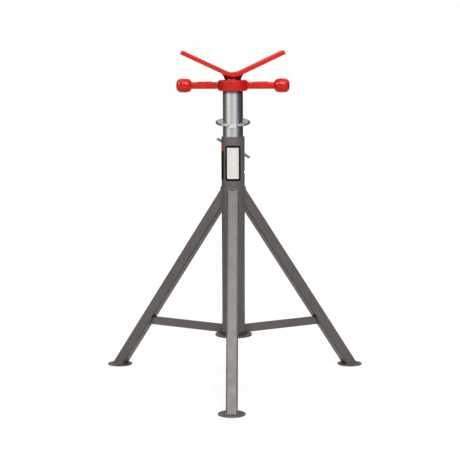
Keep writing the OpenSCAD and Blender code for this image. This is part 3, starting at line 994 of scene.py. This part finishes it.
frame_welds = []
for turn in LEG_TURNS:
    about = Matrix.Rotation(turn, 4, "Z")
    lines = [(leg_top_line(), LEG_BEAD, True), (leg_foot_line(), FOOT_BEAD, True)]
    lines += [(dense(line, loop=False), BRACE_BEAD, False) for line in brace_lines()]
    frame_welds += [([about @ Vector(point) for point in line], bead, loop) for line, bead, loop in lines]
post_line = [(px, py, POST_FOOT) for px, py in circle(POST_RADIUS, ROUND_POINTS)]
frame_welds.append((post_line, POST_BEAD, True))
nut_line = [(px, math.sqrt(POST_RADIUS ** 2 - px ** 2), CLAMP_HEIGHT + pz)
            for px, pz in dense(circle(NUT_CORNER, 6, math.radians(30)), OUTLINE_STEP)]
frame_welds.append((nut_line, NUT_BEAD, True))
print(len(frame_welds), "welds on the frame")

# %% [markdown]
# Geometry Nodes then sweep a bead along all the lines at once, so a change of the ripple changes them
# all. These helpers start a tree with named inputs, close it, and run it on a mesh.

# %% Tools for Geometry Nodes
def new_tree(name, sockets):
    """A tree with a geometry input and the named ones: the tree, their identifiers and all the wires."""
    group = bpy.data.node_groups.new(name, "GeometryNodeTree")
    group.interface.new_socket("Geometry", in_out="INPUT", socket_type="NodeSocketGeometry")
    group.interface.new_socket("Geometry", in_out="OUTPUT", socket_type="NodeSocketGeometry")
    names = {}
    for label, kind in sockets.items():
        socket = group.interface.new_socket(label, in_out="INPUT", socket_type="NodeSocket" + kind)
        names[label] = socket.identifier
    tree = Tree(group)
    start = tree.node("NodeGroupInput")
    return tree, names, [start.beside(i) for i in range(len(sockets) + 1)]


def finish_tree(tree, geometry, material):
    """Close a tree with Realize Instances and Set Material."""
    real = tree.node("GeometryNodeRealizeInstances", {}, {0: geometry})
    painted = tree.node("GeometryNodeSetMaterial", {}, {0: real, 2: material})
    tree.node("NodeGroupOutput", {}, {0: painted})


def grow(name, mesh, tree, names, values, smooth_below):
    """Run a tree on a mesh with the given input values and keep the result as a plain mesh."""
    piece = placed(name, mesh)
    modifier = piece.modifiers.new("grow", "NODES")
    modifier.node_group = tree.group
    for label, value in values.items():
        modifier[names[label]] = value
    return settle(piece, smooth_below)


# %% [markdown]
# The tree reads each point's bead width from an attribute, because the welds on the legs are fatter than
# those on the thin braces. A sine along the line makes the ripples, and noise keeps two from being alike.

# %% Weld the frame
BEAD_STEP = 0.0005
BEAD_SIDES = 10
BEAD_LUMPS = 210.0
RIPPLE_PITCH = 0.0019
RIPPLE_DEPTH = 0.045
UNEVENNESS = 0.45
BEAD_SMOOTH = 60


def weld_tree():
    tree, names, (edges, pitch, depth, uneven, paint) = new_tree("weld_beads", {
        "Ripple pitch": "Float", "Ripple depth": "Float", "Unevenness": "Float", "Paint": "Material"})
    line = tree.node("GeometryNodeMeshToCurve", {}, {0: edges})
    even = tree.node("GeometryNodeResampleCurve", {"mode": "LENGTH"}, {0: line, "Length": BEAD_STEP})
    width = tree.node("GeometryNodeInputNamedAttribute", {"data_type": "FLOAT"}, {0: "bead"})
    along = tree.node("GeometryNodeSplineParameter", output="Length")
    lumps = tree.node("ShaderNodeTexNoise", {"noise_dimensions": "3D"},
                      {"Scale": BEAD_LUMPS, "Detail": 2.0})
    swell = (along * (2 * math.pi) / pitch).sine() * depth + (lumps - 0.5) * uneven + 1.0
    circle_line = tree.node("GeometryNodeCurvePrimitiveCircle", {},
                            {"Resolution": BEAD_SIDES, "Radius": 1.0})
    bead = tree.node("GeometryNodeCurveToMesh", {},
                     {0: even, 1: circle_line, "Scale": width * swell, "Fill Caps": True})
    finish_tree(tree, bead, paint)
    return tree, names


def weld_lines(name, welds):
    """Mesh of bare edges along the welds, with each point's bead width in an attribute."""
    points, edges, widths = [], [], []
    for line, width, loop in welds:
        first = len(points)
        points += [tuple(point) for point in line]
        widths += [width] * len(line)
        edges += [(first + i, first + i + 1) for i in range(len(line) - 1)]
        if loop:
            edges.append((len(points) - 1, first))
    mesh = bpy.data.meshes.new(name)
    mesh.from_pydata(points, edges, [])
    mesh.attributes.new("bead", "FLOAT", "POINT").data.foreach_set("value", widths)
    return mesh


WELD_TREE, WELD_INPUTS = weld_tree()


def weld(name, welds, finish):
    return grow(name, weld_lines(name, welds), WELD_TREE, WELD_INPUTS,
                {"Ripple pitch": RIPPLE_PITCH, "Ripple depth": RIPPLE_DEPTH, "Unevenness": UNEVENNESS,
                 "Paint": finish.material}, BEAD_SMOOTH)


dress(weld("frame_weld_beads", frame_welds, grey_paint), grey_paint, "frame", "grey_paint")

# %% [markdown]
# The neck of the head is welded to the underside of the V. The V's underside is round in the middle and
# straight further out, so the weld line's height follows the same bend.

# %% Neck weld
NECK_RADIUS = 0.0220
NECK_BEAD = 0.0022
NECK_BEAD_DROP = 0.0004


def v_under(across):
    """Height of the V's underside at a distance from its middle."""
    radius = V_BEND + V_THICK
    bend_end = radius * math.sin(V_SLOPE)
    if across < bend_end:
        return V_FOOT + radius - math.sqrt(radius ** 2 - across ** 2)
    return V_FOOT + radius - radius * math.cos(V_SLOPE) + (across - bend_end) * math.tan(V_SLOPE)


neck_line = [Matrix.Rotation(HEAD_TURN, 3, "Z") @ Vector((px, py, v_under(abs(px)) - NECK_BEAD_DROP))
             for px, py in circle(NECK_RADIUS, ROUND_POINTS)]
# The neck's bead has the neck's painted shade
dress(weld("neck_weld_bead", [(neck_line, NECK_BEAD, True)], neck_shade_paint), neck_shade_paint, "head", "red_plate")

# %% [markdown]
# ## The jack screw
# The screw has a trapezoid thread of 6.35 mm pitch. Rings round a bar would look alike from afar, but a
# thread climbs. A Geometry Nodes tree draws a spiral, sweeps the ridge's outline along it with its
# upright kept along the screw, and fades the ridge in at both ends, as a thread-cutting tool leaves it.

# %% Thread
SCREW_RADIUS = 0.01875
SCREW_PITCH = 0.00635
THREAD_DEPTH = SCREW_PITCH / 2
THREAD_FLANK = math.radians(14.5)
THREAD_CREST = SCREW_PITCH * 0.37
THREAD_ROOT = THREAD_CREST + 2 * THREAD_DEPTH * math.tan(THREAD_FLANK)
CREST_SOFT = THREAD_CREST * 0.12
RIDGE_SUNK = THREAD_DEPTH * 0.35
FADE_TURNS = 0.4
TURN_STEPS = 48
THREAD_SMOOTH = 30


def thread_tree():
    tree, names, (outline, turns, pitch, core, fade, steps, metal) = new_tree("thread", {
        "Turns": "Float", "Pitch": "Float", "Core radius": "Float", "Fade": "Float",
        "Steps a turn": "Int", "Metal": "Material"})
    spiral = tree.node("GeometryNodeCurveSpiral", {},
                       {"Resolution": steps, "Rotations": turns, "Start Radius": core,
                        "End Radius": core, "Height": turns * pitch, "Reverse": True})
    upright = tree.node("GeometryNodeSetCurveNormal", {"mode": "Z_UP"}, {0: spiral})
    share = tree.node("GeometryNodeSplineParameter", output="Factor")
    grown = (share.smaller(1.0 - share) / fade).smaller(1.0)
    profile = tree.node("GeometryNodeMeshToCurve", {}, {0: outline})
    ridge = tree.node("GeometryNodeCurveToMesh", {},
                      {0: upright, 1: profile, "Scale": grown, "Fill Caps": True})
    finish_tree(tree, ridge, metal)
    return tree, names


def ridge_outline():
    """Loop of edges across the thread's ridge: x points out from the core, y along the screw."""
    upper = [(-RIDGE_SUNK, THREAD_ROOT / 2), (0, THREAD_ROOT / 2),
             (THREAD_DEPTH - CREST_SOFT, THREAD_CREST / 2), (THREAD_DEPTH, THREAD_CREST / 2 - CREST_SOFT)]
    points = [(px, -py, 0) for px, py in upper] + [(px, py, 0) for px, py in reversed(upper)]
    mesh = bpy.data.meshes.new("ridge")
    mesh.from_pydata(points, [(i, (i + 1) % len(points)) for i in range(len(points))], [])
    return mesh


def thread(turns):
    """The thread's ridge, which climbs from z = 0."""
    return grow("jack_screw_turned", ridge_outline(), *thread_tree(),
                {"Turns": turns, "Pitch": SCREW_PITCH, "Core radius": SCREW_RADIUS - THREAD_DEPTH,
                 "Fade": FADE_TURNS / turns, "Steps a turn": TURN_STEPS, "Metal": screw_steel.material},
                THREAD_SMOOTH)


# %% [markdown]
# The rest of the screw is a turned bar: its core, a plain land at the top, and a hole at each end, one
# for the head's stem and one for the stop bolt. The bar and the ridge go into one mesh.

# %% Jack screw
SCREW_TOP = 0.696
SCREW_BOTTOM = 0.41245
SCREW_LAND = 0.008
LAND_SLOPE = 0.0022
THREAD_START = 0.004
THREAD_GAP = 0.001
CORE_CHAMFER = 0.001
TOP_ROUND = 0.0007
LAND_ROUND = 0.0004
STEM_HOLE = 0.0121
STEM_HOLE_LONG = 0.047
STOP_BOLT_RADIUS = 0.005
STOP_BOLT_LONG = 0.022


def screw_bar():
    core = SCREW_RADIUS - THREAD_DEPTH
    land = SCREW_TOP - SCREW_LAND
    bolt_end = SCREW_BOTTOM + STOP_BOLT_LONG
    stem_end = SCREW_TOP - STEM_HOLE_LONG
    return turned(rounded([
        (0, bolt_end, 0), (STOP_BOLT_RADIUS, bolt_end, 0), (STOP_BOLT_RADIUS, SCREW_BOTTOM, 0),
        (core - CORE_CHAMFER, SCREW_BOTTOM, 0), (core, SCREW_BOTTOM + CORE_CHAMFER, 0),
        (core, land - LAND_SLOPE, 0), (SCREW_RADIUS, land, LAND_ROUND), (SCREW_RADIUS, SCREW_TOP, TOP_ROUND),
        (STEM_HOLE, SCREW_TOP, LAND_ROUND), (STEM_HOLE, stem_end, 0), (0, stem_end, 0)],
        loop=False), loop=False)


def jack_screw():
    ridge_low = SCREW_BOTTOM + THREAD_START
    ridge_high = SCREW_TOP - SCREW_LAND - THREAD_GAP
    piece = thread((ridge_high - ridge_low) / SCREW_PITCH)
    piece.data.transform(Matrix.Translation((0, 0, ridge_low)))
    whole = gather([screw_bar()])
    whole.from_mesh(piece.data)
    whole.to_mesh(piece.data)
    whole.free()
    shade(piece, THREAD_SMOOTH)
    return piece


dress(jack_screw(), screw_steel, "jack_screw", "screw_steel", "jack_screw")

# %% [markdown]
# ## Light and floor
# The photograph has a white ground and one large soft light above and in front. A lamp behind lights the
# tops and the back; gloss doesn't see it, so it leaves no glare on the metal. A small one on the left is
# seen by gloss alone and draws a bright spot on each knob. Lamps are hidden from the camera, so they
# don't show in any view.

# %% Lamps
MIDDLE = Vector((0, 0, 0.40))
LAMP_DISTANCE = 2.9


def lamp(name, azimuth, elevation, width, height, power):
    """Lamp that faces the stand from an angle, from the front and positive to the camera's right."""
    turn = math.radians(azimuth)
    level = math.cos(math.radians(elevation))
    way = Vector((level * math.sin(turn), -level * math.cos(turn), math.sin(math.radians(elevation))))
    data = bpy.data.lights.new(name, "AREA")
    data.shape = "RECTANGLE"
    data.size = width
    data.size_y = height
    data.energy = power
    made = placed(name, data)
    made.location = MIDDLE + way * LAMP_DISTANCE
    made.rotation_euler = (-way).to_track_quat("-Z", "Y").to_euler()
    made.visible_camera = False
    return made


lamp("key", azimuth=6, elevation=48, width=1.4, height=1.5, power=68)
lamp("back", azimuth=190, elevation=50, width=1.6, height=1.2, power=40).visible_glossy = False
lamp("left", azimuth=-58, elevation=38, width=1.1, height=0.8, power=28).visible_diffuse = False
print(len(bpy.data.lights), "lamps")

# %% [markdown]
# The world and the floor are white to the camera and to mirrors. For plain light the world is dim and
# the floor is a white sheet, so that it throws light back up under the legs and keeps a soft shadow.

# %% World
AMBIENT = 0.10
WHITE = (1, 1, 1, 1)


def bare_tree(owner):
    """The empty node tree of a world or a material."""
    owner.use_nodes = True
    owner.node_tree.nodes.clear()
    return Tree(owner.node_tree)


def seen_by_mirrors(tree):
    """1 for the camera's rays and for rays from gloss and glass, else 0."""
    ray = tree.node("ShaderNodeLightPath", output="Is Camera Ray")
    return ray.larger(ray.beside("Is Glossy Ray")).larger(ray.beside("Is Transmission Ray"))


scene.world = bpy.data.worlds.new("world")
sky = bare_tree(scene.world)
background = sky.node("ShaderNodeBackground", {},
                      {"Color": WHITE, "Strength": seen_by_mirrors(sky) * (1 - AMBIENT) + AMBIENT})
sky.node("ShaderNodeOutputWorld", {}, {0: background})
print("the world's plain light is", AMBIENT)

# %% Floor
FLOOR_REACH = 9.0
FLOOR_NEAR, FLOOR_FAR = 0.5, 2.2
FLOOR_GLOW = 0.90
SHADOW_SHEET = (0.14, 0.14, 0.14, 1)
PLAIN_SHEET = (0.8, 0.8, 0.8, 1)

floor_paint = bpy.data.materials.new("white_floor")
ground = bare_tree(floor_paint)
far = ground.node("ShaderNodeVectorMath", {"operation": "LENGTH"}, {0: ground.here()}, output="Value")
glow = ground.node("ShaderNodeEmission", {},
                   {"Color": WHITE, "Strength": far.ramp(FLOOR_NEAR, FLOOR_FAR, FLOOR_GLOW, 1.0)})
faint = ground.node("ShaderNodeBsdfDiffuse", {}, {"Color": SHADOW_SHEET})
shown = ground.node("ShaderNodeAddShader", {}, {0: glow, 1: faint})
sheet = ground.node("ShaderNodeBsdfDiffuse", {}, {"Color": PLAIN_SHEET})
either = ground.node("ShaderNodeMixShader", {}, {0: seen_by_mirrors(ground), 1: sheet, 2: shown})
ground.node("ShaderNodeOutputMaterial", {}, {0: either})

floor_mesh = bpy.data.meshes.new("floor")
corners = [(-FLOOR_REACH, -FLOOR_REACH, 0), (FLOOR_REACH, -FLOOR_REACH, 0), (FLOOR_REACH, FLOOR_REACH, 0),
           (-FLOOR_REACH, FLOOR_REACH, 0)]
floor_mesh.from_pydata(corners, [], [(0, 1, 2, 3)])
floor_mesh.materials.append(floor_paint)
floor = placed("floor", floor_mesh)
print("the floor reaches", FLOOR_REACH, "m out")

# %% [markdown]
# A paper tent stands round the stand: a low wall, and a dome far above it. Bare metal shows little but
# what it mirrors, so the tent's brightness changes with the direction. Level with the tube it is bright
# on both sides of the camera, dimmer between, and dark at the sides and behind. That draws the tube's
# soft bright bands and its dark edges. Higher up it is dim but for two bright patches, which rounded tops
# mirror as small lights. Only gloss sees the tent: it throws no shadow and gives the painted pieces no
# plain light.

# %% Paper of the tent
# Brightness at angles from the front, positive to the camera's right: level with the tube, then above
LEVEL_LIGHT = [(-180, 0.05), (-110, 0.03), (-84, 0.12), (-64, 0.90), (-42, 1.12), (-12, 0.58), (14, 0.90),
               (34, 0.98), (50, 0.38), (66, 0.03), (110, 0.01), (180, 0.03)]
UPPER_LIGHT = [(-180, 0.45), (-140, 0.40), (-100, 0.15), (-66, 0.25), (-60, 2.2), (-42, 2.2), (-36, 0.35),
               (6, 0.35), (12, 2.0), (27, 2.0), (33, 0.30), (70, 0.04),
               (130, 0.04), (165, 0.45), (180, 0.45)]
BRIGHTEST = 2.5
TENT_WARM = (1.0, 0.99, 0.93)
TENT_COOL = (0.96, 0.97, 1.05)
TENT_ROOF = (0.58, 0.58, 0.58)
TENT_CENTRE = 0.62
# Slopes above the tube's level at which the upper light takes over, and then the roof
UPPER_SLOPE = (0.0, 0.16)
ROOF_SLOPE = (0.55, 0.9)


def light_ramp(tree, share, lights):
    """Colour ramp of brightness over the angle from the front, warm on the left and cool on the right."""
    stops = []
    for azimuth, light in lights:
        tint = TENT_WARM if azimuth < 0 else TENT_COOL
        stops.append((azimuth / 360 + 0.5, (*(light * part / BRIGHTEST for part in tint), 1.0)))
    return tree.node("ShaderNodeValToRGB", {"stops": stops}, {0: share})


def tent_paper():
    paper = bpy.data.materials.new("paper_tent")
    tree = bare_tree(paper)
    x, y, z = tree.axes()
    front = 0 - y
    share = x.angle(front) * (1 / (2 * math.pi)) + 0.5
    slope = (z - TENT_CENTRE) / x.distance(front)
    light = tree.mix(slope.ramp(*UPPER_SLOPE), light_ramp(tree, share, LEVEL_LIGHT),
                     light_ramp(tree, share, UPPER_LIGHT))
    light = tree.mix(slope.ramp(*ROOF_SLOPE), light, TENT_ROOF)
    shining = tree.node("ShaderNodeEmission", {}, {"Color": light, "Strength": BRIGHTEST})
    tree.node("ShaderNodeOutputMaterial", {}, {0: shining})
    return paper


# %% Set up the tent
WALL_DISTANCE = 2.4
WALL_HEIGHT = 1.0
WALL_GAP = 0.005
DOME_DISTANCE = 7.0
DOME_STEP = 6

wall = [(WALL_DISTANCE, WALL_GAP), (WALL_DISTANCE, WALL_HEIGHT)]
dome = [(DOME_DISTANCE * math.cos(math.radians(a)), DOME_DISTANCE * math.sin(math.radians(a)))
        for a in range(0, 91, DOME_STEP)]
tent = to_object(gather([turned(outline, loop=False) for outline in (wall, dome)]), "paper_tent")
tent.data.materials.append(tent_paper())
for ray in ("camera", "diffuse", "shadow", "transmission", "volume_scatter"):
    setattr(tent, "visible_" + ray, False)
print("the tent's wall stands", WALL_DISTANCE, "m away")
